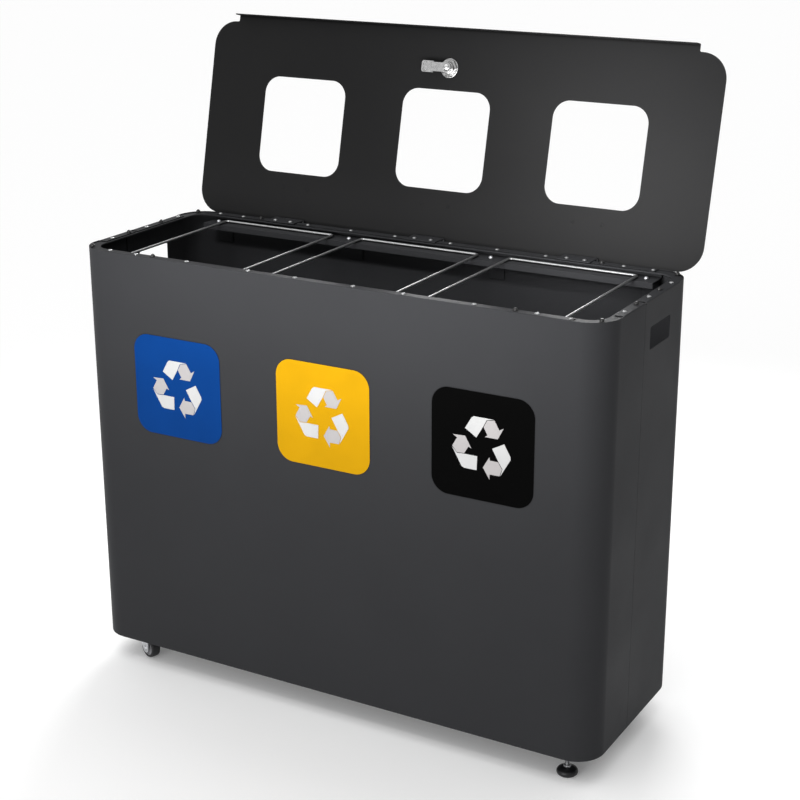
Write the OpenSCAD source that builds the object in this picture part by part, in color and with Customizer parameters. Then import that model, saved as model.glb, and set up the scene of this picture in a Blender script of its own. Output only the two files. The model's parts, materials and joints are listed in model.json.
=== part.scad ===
/* [Body] */
// Width of the body over the side walls
body_w = 1000; // [990:1:1040]
// Depth of the body over the front and rear walls
body_d = 350; // [340:1:380]
// Height of the sheet walls
wall_h = 740; // [600:1:800]
// Gap between the floor and the lower edge of the walls
ground_gap = 48; // [48:1:52]
// Outside radius of the upright corners
corner_r = 50; // [45:1:55]
// Thickness of the wall sheet
sheet_t = 1.5; // [1.2:0.1:2]
// Where the front and rear shells meet on the side walls, from the body's middle
seam_y = -28; // [-32:1:-24]

/* [Rim] */
// Width of the turned-in flange round the top of the walls
flange_w = 16; // [14:0.5:18]
// Width of the stiffening ring under the flange
ring_w = 20; // [20:0.5:24]
// Thickness of the stiffening ring
ring_t = 2; // [1.5:0.5:2]

/* [Lid] */
// How far the lid reaches past each side wall
lid_side_reach = 6; // [4:1:10]
// How far the lid reaches past the front wall
lid_front_reach = 8; // [6:1:12]
// Gap between the rim and the closed lid
lid_gap = 5; // [5:0.5:8]
// Thickness of the lid sheet
lid_t = 2; // [1.5:0.5:3]
// Depth of the lip along the lid's free edge
lip_depth = 15; // [10:1:20]
// Angle that the lid opens from closed to its stop
lid_open_angle = 103; // [95:1:110]

/* [Waste streams] */
// Distance between the middles of neighbouring streams
stream_pitch = 295; // [290:1:300]
// Side of each square aperture in the lid
aperture_side = 175; // [160:1:180]
// Corner radius of each aperture
aperture_r = 30; // [20:1:40]
// Side of each square front label
label_side = 180; // [160:1:190]
// Corner radius of each front label
label_r = 30; // [20:1:40]
// How far the label centres lie below the rim
label_drop = 227; // [200:1:300]

/* [Bag frames] */
// Half the distance between the two arms of a bag frame
frame_half_w = 118; // [112:1:119]
// Diameter of the bag frame wire
wire_d = 4.5; // [4:0.5:5]
// How far the rear shelf lies below the rim
shelf_drop = 12; // [12:0.5:14]

/* [Handles] */
// Length of each hand hole
handle_len = 85; // [80:1:110]
// Height of each hand hole
handle_h = 38; // [34:1:50]
// How far the hand hole centres lie below the rim
handle_drop = 64; // [58:1:90]

/* [Wheels and feet] */
// Diameter of the caster wheels
wheel_d = 40; // [38:1:40]
// Width of the caster wheels
wheel_w = 18; // [14:1:20]
// Diameter of the levelling foot pads
pad_d = 36; // [30:1:40]

/* [Hidden] */
$fn = 64;

// Fits and clearances
pin_gap = 0.05;
rivet_gap = 0.1;
loose_gap = 0.3;
cut = 1;

// Body heights and inner sizes
wall_z = ground_gap;
rim_z = wall_z + wall_h;
inner_w = body_w - 2 * sheet_t;
inner_d = body_d - 2 * sheet_t;
seam_gap = 0.6;
flange_end = 10;
ring_z = rim_z - sheet_t - ring_t;
notch_r = 1.5;
seam_strip_w = 25;
fold_r = 2;

// Rim fasteners: distance in from the outside, and places along each straight
rivet_inset = 10;
rivet_r = 2;
rivet_head_r = 4;
rivet_head_h = 2;
rivet_tail_h = 1;
front_rivet_x = [55, 272.5, 379];
bracket_rivet_x = [147.5, 435];
rear_rivet_x = [56, 147.5, 240, 383, 435];
side_rivet_y = [-91, 8, 104];
buffer_r = 4;
buffer_x = 343;
side_buffer_y = [-43, 53];
corner_buffer_in = 19;

// Streams
streams = [-1, 0, 1];

// Hand holes, and labels on the front wall
handle_y = 37.5;
handle_r = 4;
handle_z = rim_z - handle_drop;
label_z = rim_z - label_drop;
label_t = 0.8;
arrow_t = 0.5;
arrow_size = 50;
arrow_tail = [[-0.60, 0.55], [-0.38, 0.93], [-0.30, 0.99], [0.40, 0.99], [0.15, 0.93], [0.03, 0.69],
    [-0.20, 0.30]];
arrow_head = [[0.05, 0.69], [0.17, 0.92], [0.42, 0.97], [0.60, 0.67], [0.75, 0.76], [0.55, 0.37],
    [0.10, 0.37], [0.19, 0.44]];

// Base
tray_z = wall_z + 12;
tray_t = 1.5;
tray_skirt = 11;
rail_t = 2.5;
rail_z = tray_z - rail_t;
rail_y = body_d / 2 - 20;
foot_x = 441;
foot_y = body_d / 2 - 39;
caster_x = 428;
caster_y = body_d / 2 - 42;
caster_turn = -20;

// Levelling feet
stud_r = 4;
stud_top = 70;
pad_edge_h = 4;
pad_h = 13;
pad_neck_r = 7;
insert_r = 6;
insert_h = 8;

// Casters
plate_w = 62;
plate_d = 54;
plate_t = 2;
plate_z = rail_z - plate_t;
race_r = 17;
race_h = 5;
crown_z = plate_z - race_h - loose_gap;
crown_t = 2;
kingpin_r = 4;
trail = 14;
cheek_gap = 1.5;
cheek_t = 2;
axle_r = 3;
hub_r = 15;
caster_bolt_r = 3;
caster_bolt_x = 24;
caster_bolt_y = 20;

// Rear shelf and its fixings
shelf_t = 2;
shelf_z = rim_z - shelf_drop;
shelf_front = body_d / 2 - 47;
shelf_half_w = 449;
shelf_web_y = body_d / 2 - 5;
shelf_lip = 10;
shelf_bolt_x = [-429, -143, 143, 429];
shelf_bolt_y = body_d / 2 - 25;
shelf_bolt_r = 2.5;
shelf_bolt_len = 10.5;
shelf_head_r = 4.5;
shelf_head_h = 4;
shelf_nut_r = 4.6;
shelf_nut_h = 4.7;
bracket_t = 2;
bracket_w = 30;
bracket_leg = 40;
bracket_front = shelf_front + 4;

// Bag frames: the pivot is inboard of the ring's front edge
wire_r = wire_d / 2;
pivot_y = ring_w + 5 - body_d / 2;
pivot_z = shelf_z + loose_gap + wire_r;
bar_y = body_d / 2 - ring_w - 3;
stub_len = 9;
bend_r = 7;
lug_t = 2;
lug_r = 5.5;
lug_gap = 4.5;

// Lid
lid_z = rim_z + lid_gap;
lid_front = -body_d / 2 - lid_front_reach;
hinge_y = body_d / 2 + 13;
lid_rear = hinge_y + 2.2;
lid_half_w = body_w / 2 + lid_side_reach;
lid_corner_r = 45;
lip_step = 13;
lip_relief_r = 3;
lip_half = lid_half_w - lid_corner_r - 2 * lip_relief_r;
aperture_y = 13;

// Hinges
knuckle_r = 4;
hinge_pin_r = 2;
leaf_t = 1.5;
hinge_z = rim_z + leaf_t - knuckle_r;
hinge_half_w = 30;
mid_knuckle = 9.5;
leaf_front = hinge_y - 33;
leaf_rivet_x = 16.5;
strap_front = hinge_y - 76;
strap_half_w = 36;
strap_rivet_x = 27;
tongue_len = 8;
strap_rivet_y = hinge_y - 60;

// Cam lock
lock_y = 62 - body_d / 2;
lock_r = 10;
lock_face_r = 14;
lock_face_t = 3;
plug_r = 7;
plug_square = 7;
nut_across_r = 15.5;
nut_h = 4;
washer_r = 17;
washer_t = 1.2;
cam_reach = 50;
cam_eye_r = 9;
cam_arm_half = 8;
cam_tip_half = 10;
cam_tip_corner_r = 4;
cam_mark_r = 4.5;
cam_mark_depth = 0.5;
cam_t = 2.5;
cam_step = 3;
cam_knee = 26;
cam_tip_z = ring_z - 1.5 - cam_t;
cam_z = cam_tip_z - cam_step;
cam_screw_r = 2;

// The model's origin lies on the floor under the middle of its bounding box
open_lean = lid_open_angle - 90;
lid_len = lid_rear - lid_front;
open_reach = (hinge_y - lid_front) * sin(open_lean);
open_top_y = hinge_y + open_reach + (lid_z + lid_t - hinge_z) * cos(open_lean);
front_most = -body_d / 2 - label_t - arrow_t;
origin_y = (open_top_y + front_most) / 2;

// ---------- shared shapes ----------

module rounded(w, d, r) {
    square([w - 2 * r, d], center = true);
    square([w, d - 2 * r], center = true);
    for (sx = [-1, 1], sy = [-1, 1])
        translate([sx * (w / 2 - r), sy * (d / 2 - r)])
            circle(r, $fn = 96);
}

module placed() {
    translate([0, -origin_y, 0])
        children();
}

// Turns the closed lid up about its hinge pin to where it stands open
module open_lid() {
    translate([0, hinge_y, hinge_z])
        rotate([-lid_open_angle, 0, 0])
            translate([0, -hinge_y, -hinge_z])
                children();
}

// Domed head, flat side down on z = 0
module dome(r, h) {
    sphere_r = (r * r + h * h) / (2 * h);
    intersection() {
        translate([0, 0, h - sphere_r])
            sphere(sphere_r);
        cylinder(h = h + cut, r = r);
    }
}

// Rivet through a stack of sheets from z_low to z_high, with a head on each side
module rivet(z_low, z_high, r = rivet_r, head_r = rivet_head_r, head_h = rivet_head_h) {
    translate([0, 0, z_high])
        dome(head_r, head_h);
    translate([0, 0, z_low])
        cylinder(h = z_high - z_low, r = r);
    translate([0, 0, z_low - rivet_tail_h])
        cylinder(h = rivet_tail_h, r = head_r * 0.75);
}

module hex_nut(across_r, bore_r, h) {
    difference() {
        cylinder(h = h, r = across_r, $fn = 6);
        translate([0, 0, -cut])
            cylinder(h = h + 2 * cut, r = bore_r);
    }
}

// Long rivets that also hold the bag frame brackets under the ring
module bracket_rivet_places() {
    for (sx = [-1, 1], x = bracket_rivet_x)
        translate([sx * x, -body_d / 2 + rivet_inset, 0])
            children();
}

// Rivets that hold the walls' flange to the ring
module rim_rivet_places() {
    for (sx = [-1, 1]) {
        for (x = front_rivet_x)
            translate([sx * x, -body_d / 2 + rivet_inset, 0])
                children();
        for (x = rear_rivet_x)
            translate([sx * x, body_d / 2 - rivet_inset, 0])
                children();
        for (y = side_rivet_y)
            translate([sx * (body_w / 2 - rivet_inset), y, 0])
                children();
    }
}

module hinge_rivet_places() {
    for (k = streams, sx = [-1, 1])
        translate([k * stream_pitch + sx * leaf_rivet_x, body_d / 2 - rivet_inset, 0])
            children();
}

module buffer_places() {
    for (sx = [-1, 1], sy = [-1, 1]) {
        translate([sx * buffer_x, sy * (body_d / 2 - rivet_inset), 0])
            children();
        translate([sx * (body_w / 2 - corner_buffer_in), sy * (body_d / 2 - corner_buffer_in), 0])
            children();
    }
    for (sx = [-1, 1], y = side_buffer_y)
        translate([sx * (body_w / 2 - rivet_inset), y, 0])
            children();
}

module rim_holes(z_low, z_high) {
    rim_rivet_places()
        translate([0, 0, z_low - cut])
            cylinder(h = z_high - z_low + 2 * cut, r = rivet_r + rivet_gap);
    bracket_rivet_places()
        translate([0, 0, z_low - cut])
            cylinder(h = z_high - z_low + 2 * cut, r = rivet_r + rivet_gap);
    hinge_rivet_places()
        translate([0, 0, z_low - cut])
            cylinder(h = z_high - z_low + 2 * cut, r = rivet_r + rivet_gap);
    buffer_places()
        translate([0, 0, z_low - cut])
            cylinder(h = z_high - z_low + 2 * cut, r = rivet_r + rivet_gap);
}

// ---------- walls ----------

module wall_outline() {
    difference() {
        rounded(body_w, body_d, corner_r);
        rounded(inner_w, inner_d, corner_r - sheet_t);
    }
}

// Turned-in flange along the straight stretch of one long wall and both side walls
module flange(side, w) {
    straight_x = body_w - 2 * corner_r - 2 * flange_end;
    long_y = side * (body_d / 2 - w / 2);
    translate([-straight_x / 2, long_y - w / 2, 0])
        cube([straight_x, w, sheet_t]);
    far_y = side * (body_d / 2 - corner_r - flange_end);
    near_y = seam_y + side * (seam_gap / 2 + 2 * notch_r);
    low_y = min(far_y, near_y);
    for (sx = [-1, 1])
        translate([sx * (body_w / 2 - w / 2) - w / 2, low_y, 0])
            cube([w, abs(far_y - near_y), sheet_t]);
}

// Takes the sharp outer edge off a fold that runs along x, with its corner at the origin
module fold_cut(len) {
    rotate([90, 0, 90])
        linear_extrude(len, center = true)
            difference() {
                translate([-cut, -fold_r])
                    square([fold_r + cut, fold_r + cut]);
                translate([fold_r, -fold_r])
                    circle(fold_r);
            }
}

module wall_folds(side) {
    straight_x = body_w - 2 * corner_r - 2 * flange_end;
    far_y = side * (body_d / 2 - corner_r - flange_end);
    near_y = seam_y + side * (seam_gap / 2 + 2 * notch_r);
    translate([0, side * body_d / 2, rim_z])
        mirror([0, side > 0 ? 1 : 0, 0])
            fold_cut(straight_x);
    for (sx = [-1, 1])
        translate([sx * body_w / 2, (far_y + near_y) / 2, rim_z])
            rotate(sx > 0 ? 90 : -90)
                fold_cut(abs(far_y - near_y));
}

module shell(side) {
    difference() {
        union() {
            translate([0, 0, wall_z])
                linear_extrude(wall_h)
                    intersection() {
                        wall_outline();
                        translate([-body_w, side > 0 ? seam_y + seam_gap / 2
                            : seam_y - seam_gap / 2 - body_d])
                            square([2 * body_w, body_d]);
                    }
            translate([0, 0, rim_z - sheet_t])
                flange(side, flange_w);
        }
        rim_holes(rim_z - sheet_t, rim_z);
        wall_folds(side);
        translate([0, seam_y, rim_z - 2 * notch_r])
            rotate([0, 90, 0])
                cylinder(h = 2 * body_w, r = notch_r, center = true);
    }
}

module front_shell() {
    color("dimgray")
        shell(-1);
}

module hand_hole() {
    rotate([90, 0, 90])
        linear_extrude(2 * body_w, center = true)
            rounded(handle_len, handle_h, handle_r);
}

module rear_shell() {
    color("dimgray")
        difference() {
            shell(1);
            translate([0, handle_y, handle_z])
                hand_hole();
        }
}

// Joint plates behind the two seams
module seam_strips() {
    strip_top = ring_z - 1;
    strip_low = tray_z + tray_t + 1;
    color("dimgray")
        for (sx = [-1, 1])
            translate([sx * (inner_w / 2 - sheet_t / 2), seam_y, (strip_top + strip_low) / 2])
                difference() {
                    cube([sheet_t, seam_strip_w, strip_top - strip_low], center = true);
                    translate([-sx * sheet_t / 2, 0, 0])
                        cube([0.8, 8, strip_top - strip_low + 2 * cut], center = true);
                }
}

module top_ring() {
    color("dimgray")
        difference() {
            translate([0, 0, ring_z])
                linear_extrude(ring_t)
                    difference() {
                        rounded(inner_w - 2 * loose_gap, inner_d - 2 * loose_gap,
                            corner_r - sheet_t - loose_gap);
                        rounded(body_w - 2 * ring_w, body_d - 2 * ring_w, corner_r - ring_w);
                    }
            rim_holes(ring_z, ring_z + ring_t);
        }
}

module rim_rivets() {
    color("silver") {
        rim_rivet_places()
            rivet(ring_z, rim_z);
        bracket_rivet_places()
            rivet(ring_z - lug_t, rim_z);
    }
}

// Rubber stops that the closed lid rests on; those at the corners stand on the ring itself
module lid_buffers() {
    buffer_top = lid_z - loose_gap;
    color("black")
        intersection() {
            buffer_places()
                translate([0, 0, ring_z]) {
                    cylinder(h = buffer_top - ring_z, r = rivet_r);
                    translate([0, 0, ring_t + sheet_t])
                        dome(buffer_r, buffer_top - rim_z);
                    translate([0, 0, -1.5])
                        cylinder(h = 1.5, r = rivet_head_r * 0.75);
                }
            translate([0, 0, buffer_top - 10])
                cube([2 * body_w, 2 * body_d, 20], center = true);
        }
}

// ---------- base ----------

module base_tray() {
    skirt_z = tray_z - tray_skirt;
    tray_w = inner_w - 2 * loose_gap;
    tray_d = inner_d - 2 * loose_gap;
    straight_x = body_w - 2 * corner_r - 2 * flange_end;
    straight_y = body_d - 2 * corner_r - 2 * flange_end;
    color("dimgray")
        difference() {
            union() {
                translate([0, 0, tray_z])
                    linear_extrude(tray_t)
                        rounded(tray_w, tray_d, corner_r - sheet_t - loose_gap);
                for (s = [-1, 1]) {
                    translate([-straight_x / 2, s * (tray_d / 2 - tray_t / 2) - tray_t / 2, skirt_z])
                        cube([straight_x, tray_t, tray_skirt + tray_t / 2]);
                    translate([s * (tray_w / 2 - tray_t / 2) - tray_t / 2, -straight_y / 2, skirt_z])
                        cube([tray_t, straight_y, tray_skirt + tray_t / 2]);
                }
            }
            foot_places()
                translate([0, 0, tray_z - cut])
                    cylinder(h = tray_t + 2 * cut, r = insert_r + rivet_gap);
            caster_bolt_places()
                translate([0, 0, tray_z - cut])
                    cylinder(h = tray_t + 2 * cut, r = caster_bolt_r + rivet_gap);
        }
}

module foot_places() {
    for (sy = [-1, 1])
        translate([foot_x, sy * foot_y, 0])
            children();
}

module caster_bolt_places() {
    for (side = [-1, 1], sx = [-1, 1], sy = [-1, 1])
        translate([-caster_x + sx * caster_bolt_x, side * caster_y + sy * caster_bolt_y, 0])
            children();
}

module caster_rail() {
    color("dimgray")
        difference() {
            translate([-caster_x - 35, -rail_y, rail_z])
                cube([80, 2 * rail_y, rail_t]);
            caster_bolt_places()
                translate([0, 0, rail_z - cut])
                    cylinder(h = rail_t + 2 * cut, r = caster_bolt_r + rivet_gap);
        }
}

module foot_rail() {
    color("dimgray")
        difference() {
            translate([foot_x - 40, -rail_y, rail_z])
                cube([65, 2 * rail_y, rail_t]);
            foot_places()
                translate([0, 0, rail_z - cut])
                    cylinder(h = rail_t + 2 * cut, r = insert_r + rivet_gap);
        }
}

// ---------- levelling feet ----------

module foot_inserts() {
    color("silver")
        foot_places()
            translate([0, 0, rail_z])
                difference() {
                    union() {
                        cylinder(h = insert_h, r = insert_r);
                        translate([0, 0, rail_t + tray_t])
                            cylinder(h = 2, r = insert_r + 3);
                    }
                    translate([0, 0, -cut])
                        cylinder(h = insert_h + 2 * cut, r = stud_r + pin_gap);
                }
}

module foot_locknuts() {
    color("silver")
        foot_places()
            translate([0, 0, rail_z - 5.5])
                hex_nut(7.5, stud_r + pin_gap, 5);
}

module foot_pad() {
    color("black")
        difference() {
            rotate_extrude()
                union() {
                    square([pad_d / 2, pad_edge_h]);
                    square([pad_neck_r, pad_h]);
                    translate([0, pad_edge_h])
                        difference() {
                            intersection() {
                                translate([0, -3])
                                    circle(pad_d / 2 - 6);
                                square([pad_d / 2, 8]);
                            }
                            translate([0, 8])
                                square([pad_d, pad_d]);
                        }
                }
            translate([0, 0, pad_edge_h])
                cylinder(h = pad_h, r = stud_r + pin_gap);
        }
}

module foot_stud() {
    color("silver")
        union() {
            translate([0, 0, pad_edge_h])
                cylinder(h = stud_top - pad_edge_h - 1, r = stud_r);
            translate([0, 0, stud_top - 1])
                cylinder(h = 1, r1 = stud_r, r2 = stud_r - 1);
            translate([0, 0, pad_h])
                cylinder(h = 4, r = 6.5, $fn = 6);
        }
}

module front_foot_pad() { translate([foot_x, -foot_y, 0]) foot_pad(); }
module rear_foot_pad() { translate([foot_x, foot_y, 0]) foot_pad(); }
module front_foot_stud() { translate([foot_x, -foot_y, 0]) foot_stud(); }
module rear_foot_stud() { translate([foot_x, foot_y, 0]) foot_stud(); }

// ---------- casters ----------

module caster_at(side) {
    translate([-caster_x, side * caster_y, 0])
        children();
}

// Frame of the wheel: its axle lies along local y, behind the kingpin by the trail
module wheel_at(side) {
    caster_at(side)
        rotate([0, 0, caster_turn])
            translate([trail, 0, wheel_d / 2])
                children();
}

module caster_plate() {
    color("silver")
        difference() {
            union() {
                translate([-plate_w / 2, -plate_d / 2, plate_z])
                    cube([plate_w, plate_d, plate_t]);
                translate([0, 0, plate_z - race_h])
                    cylinder(h = race_h, r1 = race_r, r2 = race_r - 2);
            }
            translate([0, 0, plate_z - race_h - cut])
                cylinder(h = race_h + plate_t + 2 * cut, r = kingpin_r + rivet_gap);
            for (sx = [-1, 1], sy = [-1, 1])
                translate([sx * caster_bolt_x, sy * caster_bolt_y, plate_z - cut])
                    cylinder(h = plate_t + 2 * cut, r = caster_bolt_r + rivet_gap);
        }
}

module kingpin() {
    pin_low = crown_z - crown_t - 2.5;
    color("silver") {
        translate([0, 0, pin_low])
            cylinder(h = plate_z + plate_t - pin_low, r = kingpin_r);
        translate([0, 0, pin_low])
            cylinder(h = 2, r = kingpin_r + 2.5);
    }
}

module caster_fork() {
    inner_half = wheel_w / 2 + cheek_gap;
    color("silver")
        difference() {
            union() {
                translate([0, 0, crown_z - crown_t])
                    cylinder(h = crown_t, r = race_r);
                translate([0, -inner_half - cheek_t, crown_z - crown_t])
                    cube([trail + 9, 2 * (inner_half + cheek_t), crown_t]);
                for (s = [-1, 1])
                    translate([0, s * (inner_half + cheek_t / 2) + cheek_t / 2, 0])
                        rotate([90, 0, 0])
                            linear_extrude(cheek_t)
                                cheek_outline();
            }
            translate([0, 0, crown_z - crown_t - cut])
                cylinder(h = crown_t + 2 * cut, r = kingpin_r + rivet_gap);
            translate([trail, 0, wheel_d / 2])
                rotate([90, 0, 0])
                    cylinder(h = 4 * wheel_w, r = axle_r + pin_gap, center = true);
        }
}

module cheek_outline() {
    translate([trail, wheel_d / 2])
        circle(9);
    polygon([[-10, crown_z - 1], [trail - 7.5, wheel_d / 2 - 5], [trail + 9, wheel_d / 2],
        [trail + 9, crown_z - 1]]);
}

module caster_axle() {
    half = wheel_w / 2 + cheek_gap + cheek_t;
    color("silver")
        rotate([90, 0, 0]) {
            cylinder(h = 2 * half + 2, r = axle_r, center = true);
            for (s = [-1, 1])
                translate([0, 0, s * (half + 0.2)])
                    mirror([0, 0, s < 0 ? 1 : 0])
                        dome(axle_r + 2, 1.8);
        }
}

module caster_hub() {
    color("darkgray")
        rotate([90, 0, 0])
            difference() {
                union() {
                    cylinder(h = wheel_w - 2, r = hub_r, center = true);
                    cylinder(h = wheel_w, r = 6, center = true);
                }
                for (s = [-1, 1])
                    translate([0, 0, s * (wheel_w / 2 - 1.5)])
                        difference() {
                            cylinder(h = 3, r = hub_r - 2, center = true);
                            cylinder(h = 4, r = 6, center = true);
                        }
                cylinder(h = wheel_w + 2 * cut, r = axle_r + pin_gap, center = true);
            }
}

module caster_tyre() {
    color("black")
        rotate([90, 0, 0])
            rotate_extrude(convexity = 4)
                difference() {
                    translate([hub_r, -wheel_w / 2])
                        square([wheel_d / 2 - hub_r, wheel_w]);
                    for (s = [-1, 1])
                        translate([wheel_d / 2, s * wheel_w / 2])
                            rotate(45)
                                square(3.2, center = true);
                }
}

module caster_bolts() {
    color("silver")
        caster_bolt_places() {
            translate([0, 0, tray_z + tray_t])
                dome(6, 3.5);
            translate([0, 0, plate_z - 5])
                cylinder(h = tray_z + tray_t - plate_z + 5, r = caster_bolt_r);
        }
}

module caster_nuts() {
    color("silver")
        caster_bolt_places()
            translate([0, 0, plate_z - 4.5])
                hex_nut(5.8, caster_bolt_r + pin_gap, 4.5);
}

module front_caster_plate() { caster_at(-1) caster_plate(); }
module rear_caster_plate() { caster_at(1) caster_plate(); }
module front_kingpin() { caster_at(-1) kingpin(); }
module rear_kingpin() { caster_at(1) kingpin(); }
module front_caster_fork() { caster_at(-1) rotate([0, 0, caster_turn]) caster_fork(); }
module rear_caster_fork() { caster_at(1) rotate([0, 0, caster_turn]) caster_fork(); }
module front_caster_axle() { wheel_at(-1) caster_axle(); }
module rear_caster_axle() { wheel_at(1) caster_axle(); }
module front_caster_hub() { wheel_at(-1) caster_hub(); }
module rear_caster_hub() { wheel_at(1) caster_hub(); }
module front_caster_tyre() { wheel_at(-1) caster_tyre(); }
module rear_caster_tyre() { wheel_at(1) caster_tyre(); }

// ---------- rear shelf ----------

module rear_shelf() {
    depth = shelf_web_y - shelf_front;
    color("dimgray")
        difference() {
            union() {
                translate([-shelf_half_w, shelf_front, shelf_z - shelf_t])
                    cube([2 * shelf_half_w, depth, shelf_t]);
                translate([-shelf_half_w, shelf_front, shelf_z - shelf_lip])
                    cube([2 * shelf_half_w, shelf_t, shelf_lip]);
                translate([-shelf_half_w, shelf_web_y - shelf_t, shelf_z - shelf_t])
                    cube([2 * shelf_half_w, shelf_t, ring_z - shelf_z + shelf_t - 1.5]);
            }
            shelf_bolt_places()
                translate([0, 0, shelf_z - shelf_t - cut])
                    cylinder(h = shelf_t + 2 * cut, r = shelf_bolt_r + rivet_gap);
        }
}

module shelf_bolt_places() {
    for (x = shelf_bolt_x)
        translate([x, shelf_bolt_y, 0])
            children();
}

// Angle brackets that carry the shelf from the rear wall
module shelf_brackets() {
    top_z = shelf_z - shelf_t;
    color("dimgray")
        for (x = shelf_bolt_x)
            difference() {
                union() {
                    translate([x - bracket_w / 2, bracket_front, top_z - bracket_t])
                        cube([bracket_w, inner_d / 2 - bracket_front, bracket_t]);
                    translate([x - bracket_w / 2, inner_d / 2 - bracket_t, top_z - bracket_leg])
                        cube([bracket_w, bracket_t, bracket_leg]);
                }
                translate([x, shelf_bolt_y, top_z - bracket_t - cut])
                    cylinder(h = bracket_t + 2 * cut, r = shelf_bolt_r + rivet_gap);
            }
}

module shelf_bolts() {
    color("silver")
        shelf_bolt_places() {
            translate([0, 0, shelf_z])
                dome(shelf_head_r, shelf_head_h);
            translate([0, 0, shelf_z - shelf_bolt_len])
                cylinder(h = shelf_bolt_len, r = shelf_bolt_r);
        }
}

module shelf_nuts() {
    color("silver")
        shelf_bolt_places()
            translate([0, 0, shelf_z - shelf_t - bracket_t - shelf_nut_h])
                hex_nut(shelf_nut_r, shelf_bolt_r + pin_gap, shelf_nut_h);
}

// ---------- bag frames ----------

function arm_x(k, s) = k * stream_pitch + s * frame_half_w;
function lug_x(k, s) = arm_x(k, s) + s * lug_gap;

// Sheet brackets under the ring; each lug holds the turned end of one frame arm
module frame_brackets() {
    leaf_z = ring_z - lug_t;
    leaf_low_y = -body_d / 2 + 3;
    color("dimgray")
        difference() {
            union() {
                for (s = [-1, 1]) {
                    bracket_leaf(s * (body_w / 2 - 53), lug_x(s, s), leaf_low_y, leaf_z);
                    bracket_leaf(lug_x(s, -s), lug_x(0, s), leaf_low_y, leaf_z);
                }
                for (k = streams, s = [-1, 1])
                    translate([lug_x(k, s) + (s < 0 ? -lug_t : 0), 0, 0]) {
                        translate([0, pivot_y, pivot_z])
                            rotate([0, 90, 0])
                                cylinder(h = lug_t, r = lug_r);
                        translate([0, leaf_low_y, pivot_z - lug_r])
                            cube([lug_t, pivot_y - leaf_low_y, ring_z - pivot_z + lug_r - lug_t / 2]);
                    }
            }
            translate([0, pivot_y, pivot_z])
                rotate([0, 90, 0])
                    cylinder(h = 2 * body_w, r = wire_r + 0.1, center = true);
            bracket_rivet_places()
                translate([0, 0, leaf_z - cut])
                    cylinder(h = lug_t + 2 * cut, r = rivet_r + rivet_gap);
        }
}

module bracket_leaf(xa, xb, low_y, z) {
    translate([min(xa, xb), low_y, z])
        cube([abs(xb - xa), -body_d / 2 + ring_w - low_y, lug_t]);
}

// One U of wire with its front ends turned outward to make the pivots
module bag_frame(k) {
    arm_end = bar_y - bend_r;
    color("gainsboro")
        translate([k * stream_pitch, 0, pivot_z]) {
            for (s = [-1, 1]) {
                translate([s * frame_half_w, pivot_y, 0])
                    rotate([-90, 0, 0])
                        cylinder(h = arm_end - pivot_y, r = wire_r);
                translate([s * frame_half_w, pivot_y, 0])
                    sphere(wire_r);
                translate([s * frame_half_w, pivot_y, 0])
                    rotate([0, s * 90, 0])
                        cylinder(h = stub_len, r = wire_r);
                translate([s * (frame_half_w - bend_r), arm_end, 0])
                    rotate(s > 0 ? 0 : 90)
                        rotate_extrude(angle = 90)
                            translate([bend_r, 0])
                                circle(wire_r);
            }
            translate([0, bar_y, 0])
                rotate([0, 90, 0])
                    cylinder(h = 2 * (frame_half_w - bend_r), r = wire_r, center = true);
        }
}

module left_bag_frame() { bag_frame(-1); }
module middle_bag_frame() { bag_frame(0); }
module right_bag_frame() { bag_frame(1); }

// ---------- front labels ----------

module on_front(k, lift) {
    translate([k * stream_pitch, -body_d / 2 - lift, label_z])
        rotate([90, 0, 0])
            children();
}

module label(k) {
    on_front(k, 0)
        linear_extrude(label_t)
            rounded(label_side, label_side, label_r);
}

module three_arrows(outline) {
    for (k = streams)
        on_front(k, label_t)
            linear_extrude(arrow_t)
                for (turn = [0, 120, 240])
                    rotate(turn)
                        scale(arrow_size)
                            polygon(outline);
}

module label_blue() { color("royalblue") label(-1); }
module label_yellow() { color("gold") label(0); }
module label_black() { color("black") label(1); }
module label_arrow_tails() { color("white") three_arrows(arrow_tail); }
module label_arrow_heads() { color("gainsboro") three_arrows(arrow_head); }

// ---------- hinges ----------

module hinge_places() {
    for (k = streams)
        translate([k * stream_pitch, 0, 0])
            children();
}

module barrel(x_low, x_high) {
    translate([x_low, hinge_y, hinge_z])
        rotate([0, 90, 0])
            cylinder(h = x_high - x_low, r = knuckle_r);
}

module barrel_bore() {
    translate([0, hinge_y, hinge_z])
        rotate([0, 90, 0])
            cylinder(h = 4 * hinge_half_w, r = hinge_pin_r + pin_gap, center = true);
}

module hinge_body_leaves() {
    notch = mid_knuckle + loose_gap;
    color("dimgray")
        hinge_places()
            difference() {
                union() {
                    translate([-hinge_half_w, leaf_front, rim_z])
                        cube([2 * hinge_half_w, hinge_y - leaf_front, leaf_t]);
                    barrel(-hinge_half_w, -notch);
                    barrel(notch, hinge_half_w);
                }
                barrel_bore();
                translate([-notch, hinge_y - knuckle_r - 1, rim_z - cut])
                    cube([2 * notch, 2 * knuckle_r, leaf_t + 2 * cut]);
                for (s = [-1, 1])
                    translate([s * leaf_rivet_x, body_d / 2 - rivet_inset, rim_z - cut])
                        cylinder(h = leaf_t + 2 * cut, r = rivet_r + rivet_gap);
            }
}

module hinge_pins() {
    color("silver")
        hinge_places()
            translate([0, hinge_y, hinge_z])
                rotate([0, 90, 0])
                    cylinder(h = 2 * hinge_half_w - 1, r = hinge_pin_r, center = true);
}

module hinge_body_rivets() {
    color("silver")
        hinge_rivet_places()
            rivet(ring_z, rim_z + leaf_t);
}

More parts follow.
